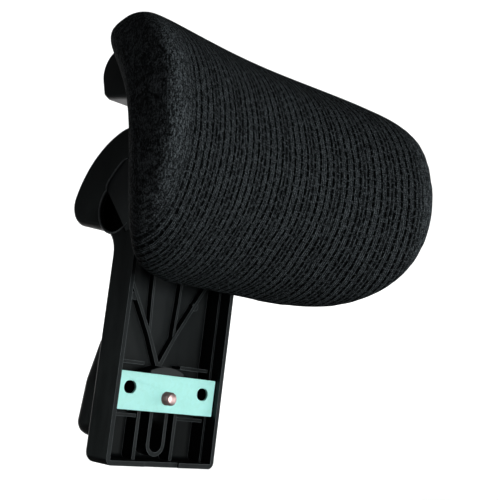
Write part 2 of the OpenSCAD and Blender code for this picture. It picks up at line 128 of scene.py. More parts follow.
class Look:
    """A material under construction: add() makes a node and fills or links its inputs by name."""

    def __init__(self, name):
        self.material = bpy.data.materials.new(name)
        self.material.use_nodes = True
        self.tree = self.material.node_tree
        self.tree.nodes.clear()
        self.shader = self.tree.nodes.new("ShaderNodeBsdfPrincipled")
        output = self.tree.nodes.new("ShaderNodeOutputMaterial")
        self.tree.links.new(self.shader.outputs[0], output.inputs["Surface"])

    def add(self, kind, inputs=None, **settings):
        node = self.tree.nodes.new("ShaderNode" + kind)
        for key, value in settings.items():
            setattr(node, key, value)
        for key, value in (inputs or {}).items():
            self.put(node, key, value)
        return node

    def put(self, node, key, value):
        if isinstance(value, bpy.types.NodeSocket):
            self.tree.links.new(value, node.inputs[key])
        else:
            node.inputs[key].default_value = value

    def set(self, **inputs):
        """Sets inputs of the main shader; an underscore stands for a space."""
        for key, value in inputs.items():
            self.put(self.shader, key.replace("_", " "), value)

    def math(self, operation, a, b=0.0):
        return self.add("Math", {0: a, 1: b}, operation=operation).outputs[0]

    def object_coordinates(self):
        return self.add("TexCoord").outputs["Object"]

    def noise(self, vector, scale, detail=2.0, roughness=0.5, stretch=None):
        """Noise between 0 and 1; scale is in repeats per metre."""
        if stretch is not None:
            mapping = self.add("Mapping", {"Vector": vector})
            mapping.inputs["Scale"].default_value = stretch
            vector = mapping.outputs[0]
        node = self.add("TexNoise", {"Vector": vector, "Scale": scale, "Detail": detail,
                                     "Roughness": roughness})
        return node.outputs["Fac"]

    def between(self, value, low, high, from_low=0.0, from_high=1.0, smooth=False):
        """Maps a value from one range to another, clamped."""
        node = self.add("MapRange", {"Value": value, "From Min": from_low, "From Max": from_high,
                                     "To Min": low, "To Max": high},
                        interpolation_type="SMOOTHSTEP" if smooth else "LINEAR")
        return node.outputs[0]

    def mix(self, factor, a, b):
        """A colour between a and b."""
        node = self.add("Mix", {"Factor": factor}, data_type="RGBA")
        for key, value in ((6, a), (7, b)):
            if isinstance(value, bpy.types.NodeSocket):
                self.tree.links.new(value, node.inputs[key])
            else:
                node.inputs[key].default_value = (*value, 1.0)
        return node.outputs[2]

    def bump(self, height, distance, strength=1.0):
        return self.add("Bump", {"Height": height, "Distance": distance, "Strength": strength}).outputs[0]


def moulded_plastic(name, colour, roughness, grain, highlight_strength=0.8, gloss=0.2):
    """Injection-moulded plastic: fine spark-eroded grain, faint flow marks, a painted highlight along the
    edges broken up by scuff noise, and painted shade in recesses.
    """
    look = Look(name)
    place = look.object_coordinates()
    flow = look.noise(place, 35, detail=3)
    pits = look.noise(place, 2600, detail=2, roughness=0.6)
    scuffs = look.noise(place, 160, detail=4, roughness=0.7, stretch=(1.0, 1.0, 0.25))
    lighter = tuple(min(1.0, c * 1.9 + 0.006) for c in colour)
    tone = look.mix(look.between(flow, 0.0, 0.5), colour, lighter)
    # Painted highlight: edges found by the Bevel node are lightened, as light caught on rounded edges, and
    # scuff noise breaks the line up.
    rounded = look.add("Bevel", {"Radius": 0.0009}, samples=8).outputs[0]
    flat = look.add("NewGeometry").outputs["Normal"]
    same = look.add("VectorMath", {0: rounded, 1: flat}, operation="DOT_PRODUCT").outputs["Value"]
    edge = look.between(same, highlight_strength, 0.0, 0.8, 0.99)
    highlight_colour = tuple(c * 6 + 0.07 for c in colour)
    # Painted shade: the colour darkens to a quarter of itself where ambient occlusion finds a recess.
    open_air = look.add("AmbientOcclusion", {"Distance": 0.03}, samples=8).outputs["AO"]
    recess = tuple(c * 0.25 for c in colour)
    tone = look.mix(look.between(open_air, 0.0, 1.0, 0.4, 0.95), recess, tone)
    highlight_mask = look.math("MULTIPLY", edge, look.between(scuffs, 0.5, 1.0, 0.3, 0.6))
    look.set(Base_Color=look.mix(highlight_mask, tone, highlight_colour))
    look.set(Roughness=look.between(scuffs, roughness - 0.06, roughness + 0.1, 0.3, 0.75))
    look.set(Normal=look.bump(pits, grain))
    look.set(Specular_IOR_Level=gloss)
    return look.material


def plated_steel(name, colour, roughness, spangle_scale=420.0, spangle=0.12, metal=1.0):
    """Zinc on steel: crystals of slightly different tone and gloss, with faint drawn scratches."""
    look = Look(name)
    place = look.object_coordinates()
    cells = look.add("TexVoronoi", {"Vector": place, "Scale": spangle_scale, "Randomness": 1.0})
    shade_of = look.add("SeparateColor", {"Color": cells.outputs["Color"]}).outputs[0]
    lines = look.noise(place, 240, detail=4, roughness=0.65, stretch=(0.12, 1.0, 2.4))
    cloud = look.noise(place, 60, detail=3)
    dark = tuple(c * (1 - spangle) for c in colour)
    light = tuple(min(1.0, c * (1 + spangle * 0.6)) for c in colour)
    base = look.mix(look.between(shade_of, 0.0, 1.0), dark, light)
    stained = tuple(c * 0.72 for c in colour)
    look.set(Base_Color=look.mix(look.between(cloud, 0.0, 0.35, 0.55, 0.8), base, stained))
    look.set(Metallic=metal)
    gloss = look.math("ADD", look.between(shade_of, -0.05, 0.05), look.between(lines, -0.06, 0.1))
    look.set(Roughness=look.math("ADD", gloss, roughness))
    look.set(Normal=look.bump(lines, 0.00003, 0.6))
    return look.material


def rubber(name, colour):
    look = Look(name)
    place = look.object_coordinates()
    dust = look.noise(place, 220, detail=4, roughness=0.7)
    lighter = tuple(c * 2.0 + 0.01 for c in colour)
    look.set(Base_Color=look.mix(look.between(dust, 0.0, 0.6, 0.4, 0.8), colour, lighter))
    look.set(Roughness=look.between(dust, 0.62, 0.85))
    look.set(Normal=look.bump(look.noise(place, 1500), 0.00004))
    return look.material


def pressed_fibre(name, colour):
    look = Look(name)
    place = look.object_coordinates()
    flecks = look.noise(place, 900, detail=5, roughness=0.8, stretch=(1.0, 0.3, 1.0))
    dark = tuple(c * 0.55 for c in colour)
    look.set(Base_Color=look.mix(look.between(flecks, 0.0, 1.0, 0.35, 0.7), dark, colour))
    look.set(Roughness=0.75, Normal=look.bump(flecks, 0.00005))
    return look.material


def plywood(name, colour):
    """Curved ply with long grain along X."""
    look = Look(name)
    place = look.object_coordinates()
    grain = look.noise(place, 180, detail=6, roughness=0.6, stretch=(0.06, 1.0, 1.0))
    dark = tuple(c * 0.6 for c in colour)
    look.set(Base_Color=look.mix(look.between(grain, 0.0, 1.0, 0.3, 0.7), dark, colour))
    look.set(Roughness=0.6, Normal=look.bump(grain, 0.00006))
    return look.material


def open_cell_foam(name, colour):
    look = Look(name)
    place = look.object_coordinates()
    cells = look.add("TexVoronoi", {"Vector": place, "Scale": 900.0}, feature="F1").outputs[0]
    skin = look.noise(place, 40, detail=3)
    yellow = (colour[0], colour[1] * 0.9, colour[2] * 0.7)
    look.set(Base_Color=look.mix(look.between(skin, 0.0, 1.0, 0.4, 0.65), colour, yellow))
    look.set(Roughness=0.9, Normal=look.bump(cells, 0.0004, 0.8))
    return look.material


def webbing(name, colour):
    """Tight ribbed elastic."""
    look = Look(name)
    place = look.object_coordinates()
    wave = look.add("TexWave", {"Vector": place, "Scale": 420.0, "Distortion": 1.0},
                    wave_type="BANDS", bands_direction="DIAGONAL").outputs["Fac"]
    lighter = tuple(c * 2.2 for c in colour)
    look.set(Base_Color=look.mix(wave, colour, lighter), Roughness=0.8)
    look.set(Sheen_Weight=0.2, Normal=look.bump(wave, 0.00015))
    return look.material


# The knit's repeat across the pillow, in millimetres, and the dark slit columns within one repeat:
# (place in the repeat, strength, shift of its slits along the column as a share of their pitch).
KNIT_REPEAT = 21.5
KNIT_COLUMNS = [(0.03, 1.0, 0.0), (0.265, 0.85, 0.45), (0.42, 0.55, 0.15), (0.555, 0.65, 0.7),
                (0.775, 0.95, 0.35)]
SLIT_PITCH = 4.7
THREAD_PITCH = 1.35


def spacer_knit(name, colour):
    """Black 3-D knit: columns of slits between fine ribs, over the piece's own 'cloth' coordinates. The
    slits are painted near-black as shade in the openings, and the yarn is painted lit on its raised loops
    and shaded between them.

    The attribute holds (millimetres across, millimetres along the columns, share of the plain end band).
    """
    look = Look(name)
    cloth = look.add("Attribute", attribute_name="cloth")
    across, along, plain = [look.add("SeparateXYZ", {0: cloth.outputs["Vector"]}).outputs[i]
                            for i in range(3)]
    wander = look.noise(cloth.outputs["Vector"], 0.12, detail=2)
    across = look.math("ADD", across, look.between(wander, -0.8, 0.8))
    repeat = look.math("FRACT", look.math("DIVIDE", across, KNIT_REPEAT))
    drift = look.between(look.noise(cloth.outputs["Vector"], 0.14, detail=1), -0.8, 0.8)
    slits = None
    for place, strength, shift in KNIT_COLUMNS:
        off = look.math("ABSOLUTE", look.math("SUBTRACT", repeat, place))
        column = look.between(off, strength, 0.0, 0.022, 0.054, smooth=True)
        step = look.math("FRACT", look.math("ADD", look.math("DIVIDE", along, SLIT_PITCH),
                                            look.math("ADD", drift, shift)))
        dash = look.between(look.math("ABSOLUTE", look.math("SUBTRACT", step, 0.5)), 1.0, 0.25, 0.28, 0.43,
                            smooth=True)
        one = look.math("MULTIPLY", column, dash)
        slits = one if slits is None else look.math("MAXIMUM", slits, one)
    patchy = look.between(look.noise(cloth.outputs["Vector"], 0.09, detail=3), 0.6, 1.0, 0.35, 0.6)
    fade = look.between(plain, 1.0, 0.0, 0.0, 0.7)
    slits = look.math("MULTIPLY", slits, look.math("MULTIPLY", patchy, fade))
    # Ribs between the columns, each a chain of small slanting loops.
    rib = look.math("PINGPONG", look.math("DIVIDE", across, THREAD_PITCH), 0.5)
    slant = look.math("ADD", look.math("DIVIDE", along, 1.5), look.math("MULTIPLY", rib, 1.3))
    loop = look.math("PINGPONG", slant, 0.5)
    loops = look.math("MULTIPLY", look.math("SQRT", look.math("MULTIPLY", rib, 2.0)),
                      look.between(loop, 0.4, 1.0, 0.0, 0.5))
    # The plain ends are a denser knit of fine upright threads.
    threads = look.noise(look.object_coordinates(), 1200, detail=1, stretch=(1.0, 1.0, 0.55))
    threads = look.between(threads, 0.2, 1.0, 0.35, 0.65)
    knit = look.add("Mix", {"Factor": plain, "A": loops, "B": threads}).outputs[0]
    fuzz = look.noise(look.object_coordinates(), 1300, detail=2, roughness=0.6)
    fuzz = look.between(fuzz, 0.15, 1.0, 0.36, 0.62)
    # Fine upright hairlines run in the ribs, broken every few millimetres.
    hair = look.noise(cloth.outputs["Vector"], 1.0, detail=2, roughness=0.6, stretch=(1.15, 0.25, 0.25))
    hair = look.between(hair, 0.0, 1.0, 0.38, 0.6)
    knit = look.math("MULTIPLY", knit, look.math("ADD", 0.35, look.math("MULTIPLY", hair, 0.65)))
    height = look.math("SUBTRACT", look.math("ADD", knit, look.math("MULTIPLY", fuzz, 0.7)),
                       look.math("MULTIPLY", slits, 2.6))
    # Painted light and shade: the yarn is painted lit where the loops stand high and painted shaded where
    # they sink.
    yarn_lit = tuple(c * 3.2 for c in colour)
    yarn_shaded = tuple(c * 0.12 for c in colour)
    lit_share = look.between(look.math("MULTIPLY", knit, fuzz), 0.0, 1.0, 0.05, 0.6)
    yarn = look.mix(lit_share, yarn_shaded, yarn_lit)
    # Painted shade: the slits are openings in the knit, and their near-black colour stands for the shade
    # inside them.
    slit_shade = (0.0001, 0.0004, 0.0006)
    look.set(Base_Color=look.mix(look.between(slits, 0.0, 1.0, 0.0, 0.55), yarn, slit_shade))
    look.set(Roughness=look.between(fuzz, 0.65, 0.85))
    look.set(Specular_IOR_Level=0.03)
    look.set(Normal=look.bump(height, 0.0006, 1.0))
    return look.material


BLACK = (0.0048, 0.0060, 0.0067)
MATERIALS = {
    "zinc": plated_steel("galvanised_steel", (0.52, 1.0, 0.91), 0.5, spangle=0.04, metal=0.0),
    "pad_rubber": rubber("pad_rubber", (0.014, 0.014, 0.015)),
    "bolt_steel": plated_steel("bolt_steel", (0.85, 0.58, 0.56), 0.45, 900.0, 0.06),
    "steel": plated_steel("plated_steel", (0.62, 0.63, 0.64), 0.36, 900.0, 0.08),
    "spring_steel": plated_steel("spring_steel", (0.28, 0.28, 0.30), 0.4, 700.0, 0.08),
    "friction": pressed_fibre("pressed_fibre", (0.40, 0.31, 0.20)),
    "bush": moulded_plastic("acetal", (0.46, 0.38, 0.27), 0.4, 0.00002, 0.1),
    "arm_plastic": moulded_plastic("black_plastic", BLACK, 0.42, 0.00003),
    "cap_plastic": moulded_plastic("grey_plastic", (0.021, 0.023, 0.025), 0.42, 0.00003),
    "board": plywood("plywood", (0.50, 0.36, 0.22)),
    "foam": open_cell_foam("foam", (0.74, 0.71, 0.62)),
    "mesh_fabric": spacer_knit("black_knit", (0.036, 0.039, 0.042)),
    "welt": webbing("elastic", (0.012, 0.012, 0.013)),
}

# The bead is the arm's own black plastic: its lighter colour is a painted highlight along the opening's rim.
LIP_HIGHLIGHT = moulded_plastic("lip_painted_highlight", (0.075, 0.082, 0.088), 0.25, 0.00002, gloss=0.6)


# ---- Pieces copied from the CAD with rounded edges --------------------------------------------------

def copy_of(node, name):
    """A clean copy of a CAD node's shape: joined vertices, flat faces merged."""
    source = frame["nodes"][node].data
    piece = new_piece(name, [v.co for v in source.vertices], [tuple(p.vertices) for p in source.polygons])
    bm = bmesh.new()
    bm.from_mesh(piece.data)
    bmesh.ops.remove_doubles(bm, verts=bm.verts, dist=2e-6)
    bmesh.ops.dissolve_limit(bm, angle_limit=math.radians(0.4), verts=bm.verts, edges=bm.edges)
    bmesh.ops.recalc_face_normals(bm, faces=bm.faces)
    bm.to_mesh(piece.data)
    bm.free()
    return piece


def round_edges(piece, width):
    """Rounds every edge sharper than 40 degrees."""
    bevel = piece.modifiers.new("edges", "BEVEL")
    bevel.width = width
    bevel.segments = 2
    bevel.limit_method = "ANGLE"
    bevel.angle_limit = math.radians(40)
    bevel.use_clamp_overlap = False
    bevel.miter_outer = "MITER_SHARP"
    return settle(piece)


def end_outline(mesh, x):
    """The (y, z) outline of a mesh's flat end at x, as one loop: the longest of its borders."""
    bm = bmesh.new()
    bm.from_mesh(mesh)
    flat = {f for f in bm.faces if all(abs(v.co.x - x) < 2e-5 for v in f.verts)}
    following = {}
    for face in flat:
        for loop in face.loops:
            if sum(f in flat for f in loop.edge.link_faces) == 1:
                following[loop.vert.index] = loop.link_loop_next.vert.index
    places = {v.index: (v.co.y, v.co.z) for v in bm.verts}
    bm.free()
    loops = []
    while following:
        start, at = following.popitem()
        chain = [start]
        while at != start:
            chain.append(at)
            at = following.pop(at)
        loops.append([places[i] for i in chain])
    return max(loops, key=lambda loop: np.ptp(np.array(loop)[:, 1]))


def grown(outline, distance):
    """The outline moved outward by a distance, with mitred corners; negative moves it in."""
    points = np.array(outline)
    before, after = np.roll(points, 1, axis=0), np.roll(points, -1, axis=0)
    area = np.sum(points[:, 0] * after[:, 1] - points[:, 1] * after[:, 0])
    turn = 1.0 if area > 0 else -1.0

    def normals(edge):
        edge = edge / np.linalg.norm(edge, axis=1)[:, None]
        return np.stack([edge[:, 1], -edge[:, 0]], axis=1) * turn

    first, second = normals(points - before), normals(after - points)
    bisector = first + second
    bisector /= np.linalg.norm(bisector, axis=1)[:, None]
    stretch = np.maximum(np.sum(bisector * first, axis=1), 0.5)
    return points + bisector * (distance / stretch)[:, None]


def round_ends(piece, half, radius, reach_front=None):
    """Rounds the edges of the piece's two flat ends at x = +-half by cutting it with a rounded envelope.

    Points of the outline in front of y = reach_front are pushed forward, so that they stay uncut.
    """
    margin = 0.08 * MM
    outline = np.array(end_outline(piece.data, half))
    if reach_front is not None:
        outline[outline[:, 0] < reach_front, 0] -= 20 * MM
    steps = [math.radians(a) for a in np.linspace(0, 90, 9)]
    rings = [(half + margin - radius + radius * math.sin(a), margin - radius * (1 - math.cos(a)))
             for a in steps]
    rings = [(-x, grow) for x, grow in reversed(rings)] + rings
    points = [(x, y, z) for x, grow in rings for y, z in grown(outline, grow)]
    n = len(outline)
    faces = [tuple(range(n)), tuple(range(len(points) - n, len(points)))]
    for k in range(len(rings) - 1):
        faces += [(k * n + i, k * n + (i + 1) % n, (k + 1) * n + (i + 1) % n, (k + 1) * n + i)
                  for i in range(n)]
    envelope = new_piece(piece.name + "_envelope", points, faces)
    outward(envelope)
    cut = piece.modifiers.new("round", "BOOLEAN")
    cut.operation = "INTERSECT"
    cut.solver = "EXACT"
    cut.object = envelope
    settle(piece)
    bpy.data.objects.remove(envelope)
    return piece


def round_rims(piece, half, width):
    """Rounds the outer edges of the openings in the two side faces at x = +-half."""
    bm = bmesh.new()
    bm.from_mesh(piece.data)
    flat = [f for f in bm.faces if all(abs(abs(v.co.x) - half) < 2e-5 for v in f.verts)]
    border = [e for e in {e for f in flat for e in f.edges} if sum(f in flat for f in e.link_faces) == 1]
    inner = [e for e in border if all(inside_head(v.co) for v in e.verts)]
    bmesh.ops.bevel(bm, geom=inner, offset=width, segments=4, profile=0.5, affect="EDGES",
                    clamp_overlap=False)
    bm.to_mesh(piece.data)
    bm.free()


# The arm's side opening lies within a circle of ACCESS_REACH about this (y, z), and between y = 0 and
# ACCESS_REAR.
ACCESS_AT, ACCESS_REACH, ACCESS_REAR = (17 * MM, 113 * MM), 27 * MM, 38 * MM


def inside_head(point):
    """Whether a point of the arm's side face lies at its access opening, not on the arm's outline."""
    reach = (Vector((0, point.y, point.z)) - Vector((0, *ACCESS_AT))).length
    return reach < ACCESS_REACH and 0 < point.y < ACCESS_REAR


def refined(node, width):
    """A CAD node's copy with small rounded edges, in its own material."""
    piece = copy_of(node, node + "_made")
    if width:
        round_edges(piece, width)
    shade(piece)
    return finish_piece(piece, node, MATERIALS[SLOT_OF[node]])


def build_arm():
    low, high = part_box("support_arm")
    rim_round, end_round, front_band = 1.0 * MM, 4.5 * MM, 0.2 * MM
    piece = copy_of("support_arm", "support_arm_made")
    round_rims(piece, high.x, rim_round)
    round_ends(piece, high.x, end_round, reach_front=low.y + front_band)
    shade(piece, 38)
    return finish_piece(piece, "support_arm", MATERIALS["arm_plastic"])


# The rear edge of the arm's side opening, as (y, z) in millimetres: along the cap, then the round part.
LIP_CORNERS = [(15.5, 134.6), (19.8, 133.4), (32.7, 119.8), (31.4, 115.4)]
OPENING_CENTRE, OPENING_RADIUS = (20.4, 104.8), 15.4
OPENING_START, OPENING_END = 38, -142  # degrees, where the round part begins and ends


def build_lip(name, x):
    """Rounded bead that stands a little out of the arm's side, along the rear edge of the opening."""
    radius, inset, clear_of_rim, end_taper = 0.85, 0.35, 0.45, 5
    cy, cz = OPENING_CENTRE
    r = OPENING_RADIUS + clear_of_rim
    path = LIP_CORNERS + [(cy + r * math.cos(a), cz + r * math.sin(a))
                          for a in np.radians(np.linspace(OPENING_START, OPENING_END, 40))]
    line = np.array(path)
    for _ in range(2):
        quarter = 0.75 * line[:-1] + 0.25 * line[1:]
        rest = 0.25 * line[:-1] + 0.75 * line[1:]
        line = np.concatenate([line[:1], np.stack([quarter, rest], axis=1).reshape(-1, 2), line[-1:]])
    along = np.concatenate([[0], np.cumsum(np.linalg.norm(np.diff(line, axis=0), axis=1))])
    places = np.linspace(0, along[-1], 90)
    line = np.stack([np.interp(places, along, line[:, 0]), np.interp(places, along, line[:, 1])], axis=1)
    tangent = np.gradient(line, axis=0)
    tangent /= np.linalg.norm(tangent, axis=1)[:, None]
    side = np.stack([tangent[:, 1], -tangent[:, 0]], axis=1)
    taper = np.clip(np.minimum(places, places[-1] - places) / end_taper, 0.15, 1)
    out = 1 if x > 0 else -1
    sides = 12
    points = []
    for (y, z), (sy, sz), share in zip(line, side, taper):
        for k in range(sides):
            a = 2 * math.pi * k / sides
            points.append((x + out * (radius * share * math.sin(a) - inset) * MM,
                           (y + sy * radius * share * math.cos(a)) * MM,
                           (z + sz * radius * share * math.cos(a)) * MM))
    n = len(line)
    faces = [(i * sides + k, i * sides + (k + 1) % sides, (i + 1) * sides + (k + 1) % sides,
              (i + 1) * sides + k) for i in range(n - 1) for k in range(sides)]
    faces += [tuple(range(sides)), tuple(range((n - 1) * sides, n * sides))]
    piece = new_piece(name, points, faces)
    outward(piece)
    shade(piece, 60)
    # Lighter than the arm's plastic: a painted highlight.
    piece.data.materials.append(LIP_HIGHLIGHT)
    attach(piece, "arm")
    return piece


def build_hinge_cover():
    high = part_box("hinge_cover")[1]
    piece = copy_of("hinge_cover", "hinge_cover_made")
    end_round = 3.0 * MM
    round_ends(piece, high.x, end_round)
    shade(piece, 38)
    return finish_piece(piece, "hinge_cover", MATERIALS["arm_plastic"])


# ---- Clamp knob and bolt ----------------------------------------------------------------------------

def clamp_axis_z():
    low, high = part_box("clamp_bolt")
    return (low.z + high.z) / 2


def build_knob():
    """Hand knob: a square with rounded corners and bulging sides, drafted towards a crowned end."""
    low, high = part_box("clamp_knob")
    corner_r, corner_at, belly_r = 8 * MM, 33 * MM, 33.2 * MM
    corner_angles = [math.radians(35 + 90 * k) for k in range(4)]
    neck_r, cap_r, cap_depth, bore_r = 15 * MM, 14 * MM, 5 * MM, 7 * MM
    axis_z = clamp_axis_z()
    y0, y1 = low.y, high.y
    flare = y0 + 1.7 * MM
    arcs = [(0.0, 0.0, belly_r)] + [(corner_at * math.cos(a), corner_at * math.sin(a), corner_r)
                                    for a in corner_angles]
    # (y, share of the way from the neck to the rim, outward step from there)
    profile = [(y0, 0.0, -0.6), (y0 + 0.5 * MM, 0.0, 0.0), (flare, 0.0, 0.0), (flare, 0.9, 0.0),
               (flare + 0.1 * MM, 1.0, 0.4), (flare + 0.5 * MM, 1.0, 1.0), (flare + 1.3 * MM, 1.0, 1.2),
               (y1 - 5.5 * MM, 1.0, 0.1), (y1 - 3.2 * MM, 1.0, -0.5), (y1 - 1.4 * MM, 1.0, -1.6),
               (y1 - 0.35 * MM, 1.0, -3.4), (y1, 1.0, -5.6)]
    count = 192
    points, rows = [], 0
    for y, share, outward_step in profile:
        for k in range(count):
            a = 2 * math.pi * k / count
            nx, nz = math.cos(a), math.sin(a)
            cx, cz, r = max(arcs, key=lambda arc: arc[0] * nx + arc[1] * nz + arc[2])
            r += outward_step * MM
            x = neck_r * nx * (1 - share) + (cx + r * nx) * share
            z = neck_r * nz * (1 - share) + (cz + r * nz) * share
            points.append((x, y, axis_z + z))
        rows += 1
    # The recess for the cap, with a soft rim, and the bore through to the neck.
    for y, r in ((y1, cap_r + 1.2 * MM), (y1 - 0.5 * MM, cap_r), (y1 - cap_depth, cap_r),
                 (y1 - cap_depth, bore_r), (y0, bore_r)):
        points += [(r * math.cos(2 * math.pi * k / count), y, axis_z + r * math.sin(2 * math.pi * k / count))
                   for k in range(count)]
        rows += 1
    faces = []
    for row in range(rows):
        after = (row + 1) % rows
        faces += [(row * count + k, row * count + (k + 1) % count, after * count + (k + 1) % count,
                   after * count + k) for k in range(count)]
    piece = new_piece("clamp_knob_made", points, faces)
    outward(piece)
    shade(piece, 40)
    return finish_piece(piece, "clamp_knob", MATERIALS["arm_plastic"])


def build_bolt():
    """M8 bolt with a real thread: a height field wound round its axis, with a chamfered end."""
    low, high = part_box("clamp_bolt")
    axis_z = clamp_axis_z()
    outer = (high.x - low.x) / 2
    depth, pitch, end_chamfer = 0.68 * MM, 1.25 * MM, 0.95 * MM
    around = 40
    rows = int((high.y - low.y) / (pitch / 9))
    points, faces = [], []
    for i in range(rows + 1):
        y = low.y + (high.y - low.y) * i / rows
        chamfer = outer - max(0.0, end_chamfer - (y - low.y))
        for k in range(around):
            turn = (y / pitch - k / around) % 1.0
            crest = min(1.0, max(0.0, 2.6 * abs(turn - 0.5) - 0.12))
            r = min(outer - depth * crest, chamfer)
            a = 2 * math.pi * k / around
            points.append((r * math.cos(a), y, axis_z + r * math.sin(a)))
    for i in range(rows):
        faces += [(i * around + k, i * around + (k + 1) % around, (i + 1) * around + (k + 1) % around,
                   (i + 1) * around + k) for k in range(around)]
    faces += [tuple(range(around)), tuple(range(rows * around, (rows + 1) * around))]
    piece = new_piece("clamp_bolt_made", points, faces)
    outward(piece)
    shade(piece, 50)
    return finish_piece(piece, "clamp_bolt", MATERIALS["bolt_steel"])


# ---- Pillow -----------------------------------------------------------------------------------------
# The pillow frame: x across, eta out of the pillow's back, zeta up along it, in millimetres.

LEAN = math.radians(19.3)
ETA = Vector((0, math.cos(LEAN), -math.sin(LEAN)))
ZETA = Vector((0, math.sin(LEAN), math.cos(LEAN)))
HINGE_AT = (50.7, 62.1)
CENTRE = Vector(JOINT["pillow_tilt"]["pos_m"]) - (ETA * HINGE_AT[0] + ZETA * HINGE_AT[1]) * MM
HALF_LENGTH = 109.5
HALF_HEIGHT = 70.0
HALF_THICK = 34.0
WRAP = 34.0
SECTION_POWER = 3.0
END_POWER = 3.95
SHELL_ETA = 33.4
BACK_RADIUS = 135.0
BACK_CENTRE = SHELL_ETA - BACK_RADIUS
SHELL_THICK = 3.0
SHELL_HALF, SHELL_LOW, SHELL_HIGH, SHELL_CORNER = 64.0, -47.0, 63.0, 12.0
WELL_GAP = 2.4
SKIN = 2.0
COVER_INSET = 0.2
QUAD_SIZE = 4 * MM
# How far the cover may swell, and how many frames it is simulated for.
PUFF_CAP = 2.2 * MM
PUFF_FRAMES = 20
# The cover is held out to this far beyond the shell's outline, where it lies behind this eta.
HELD_BAND, REAR_ETA = 2, 12
# Gap between the shell's front face and the cover, and how far the cover's and foam's edges roll over.
SEAT_GAP, COVER_ROLL, FOAM_ROLL = 0.15, 7.0, 4.0
# The plain end bands fade in between these shares of the half length.
PLAIN_FROM, PLAIN_TO = 0.84, 0.98
# Eta of the seat pressed into the foam, just in front of the core board, and how far it reaches past the
# shell's outline.
BOARD_ETA, BOARD_GROW = 24.6, 5.6


def to_row(points):
    """Pillow-frame millimetres to row-frame metres."""
    p = np.asarray(points, float) * MM
    return (np.array(CENTRE)[None, :] + p[:, :1] * np.array([[1.0, 0, 0]])
            + p[:, 1:2] * np.array(ETA)[None, :] + p[:, 2:3] * np.array(ZETA)[None, :])


def to_pillow(points):
    """Row-frame metres to pillow-frame millimetres."""
    p = (np.asarray(points, float) - np.array(CENTRE)[None, :]) / MM
    return np.stack([p[:, 0], p @ np.array(ETA), p @ np.array(ZETA)], axis=1)


def section_sizes(u, upper):
    """Half height, half thickness and curl of the section at u, for its upper or lower half.

    In millimetres: from the middle to the ends (u = +-1) the half height grows by 1 above and 20 below, the
    half thickness shrinks by 10, and the curl goes from 18 to 40 above and from 31 to 18 below.
    """
    cap = np.maximum(0.0, 1 - np.abs(u) ** END_POWER) ** (1 / END_POWER)
    rise = np.where(upper, 1.0, 20.0)
    curl = np.where(upper, 18 + 22 * u * u, 31 - 13 * u * u)
    return ((HALF_HEIGHT + rise * u * u) * cap, (HALF_THICK - 10 * u * u) * np.sqrt(cap), curl)


def signed_power(x, p):
    return np.sign(x) * np.abs(x) ** p


def pillow_grid(inset):
    """Points of the saddle-shaped closed body, set in by a distance: rings along it, columns around it."""
    n_u, n_v = 60, 96
    rings = []
    for i in range(-n_u + 1, n_u):
        u = np.full(n_v, math.sin(math.pi / 2 * i / n_u))
        v = 2 * math.pi * (np.arange(n_v) + 0.5) / n_v
        high, thick, curl = section_sizes(u, np.sin(v) > 0)
        zeta = np.maximum(high - inset, 1.0) * signed_power(np.sin(v), 2 / SECTION_POWER)
        eta = (np.maximum(thick - inset, 1.0) * signed_power(np.cos(v), 2 / SECTION_POWER)
               + curl * (zeta / HALF_HEIGHT) ** 2 - WRAP * u * u)
        rings.append(np.stack([(HALF_LENGTH - inset) * u, eta, zeta], axis=1))
    return np.array(rings)


def pillow_body(name, inset):
    grid = pillow_grid(inset)
    rings, n_v = grid.shape[:2]
    faces = [tuple(range(n_v)), tuple(range((rings - 1) * n_v, rings * n_v))]
    for i in range(rings - 1):
        faces += [(i * n_v + j, (i + 1) * n_v + j, (i + 1) * n_v + (j + 1) % n_v, i * n_v + (j + 1) % n_v)
                  for j in range(n_v)]
    piece = new_piece(name, to_row(grid.reshape(-1, 3)), faces)
    outward(piece)
    return piece


def panel_distance(x, zeta, half, low, high, corner):
    """Signed distance outside a rounded rectangle, in millimetres; negative inside."""
    middle, tall = (low + high) / 2, (high - low) / 2
    qx = np.abs(x) - (half - corner)
    qz = np.abs(zeta - middle) - (tall - corner)
    outside = np.hypot(np.maximum(qx, 0), np.maximum(qz, 0))
    return outside + np.minimum(np.maximum(qx, qz), 0) - corner


def back_curve(x, eta):
    """Eta of the curve that the shell, the board and the hem follow, with eta at the middle."""
    radius = eta - BACK_CENTRE
    return BACK_CENTRE + np.sqrt(np.maximum(radius * radius - x * x, 0))


def press_back(points, floor_eta, grow, roll):
    """Presses the back of the body in under the shell, with an edge that rolls over softly."""
    x, eta, zeta = points.T
    outside = panel_distance(x, zeta, SHELL_HALF + grow, SHELL_LOW - grow, SHELL_HIGH + grow,
                             SHELL_CORNER + grow)
    floor = back_curve(np.clip(x, -95, 95), floor_eta)
    middle = -WRAP * (x / HALF_LENGTH) ** 2 + 20 * (zeta / HALF_HEIGHT) ** 2
    rear = (eta > middle) & (eta > floor)
    q = np.clip(outside / roll + 0.25, 0, 1)
    share = np.sqrt(np.maximum(0, 1 - (1 - q) ** 2))
    moved = points.copy()
    moved[rear, 1] = (floor + (eta - floor) * share)[rear]
    return moved


def read_points(piece):
    co = np.empty(len(piece.data.vertices) * 3)
    piece.data.vertices.foreach_get("co", co)
    return co.reshape(-1, 3)


def write_points(piece, points):
    piece.data.vertices.foreach_set("co", np.asarray(points, np.float32).ravel())
    piece.data.update()


def even_quads(piece, size, body):
    """Even, relaxed quads that lie on the surface of the body."""
    remesh = piece.modifiers.new("even", "REMESH")
    remesh.mode = "VOXEL"
    remesh.voxel_size = size
    settle(piece)
    smooth = piece.modifiers.new("relax", "SMOOTH")
    smooth.factor = 0.5
    smooth.iterations = 4
    back_on = piece.modifiers.new("back_on", "SHRINKWRAP")
    back_on.target = body
    back_on.wrap_method = "NEAREST_SURFACEPOINT"
    settle(piece)
    bpy.data.objects.remove(body)
    return piece


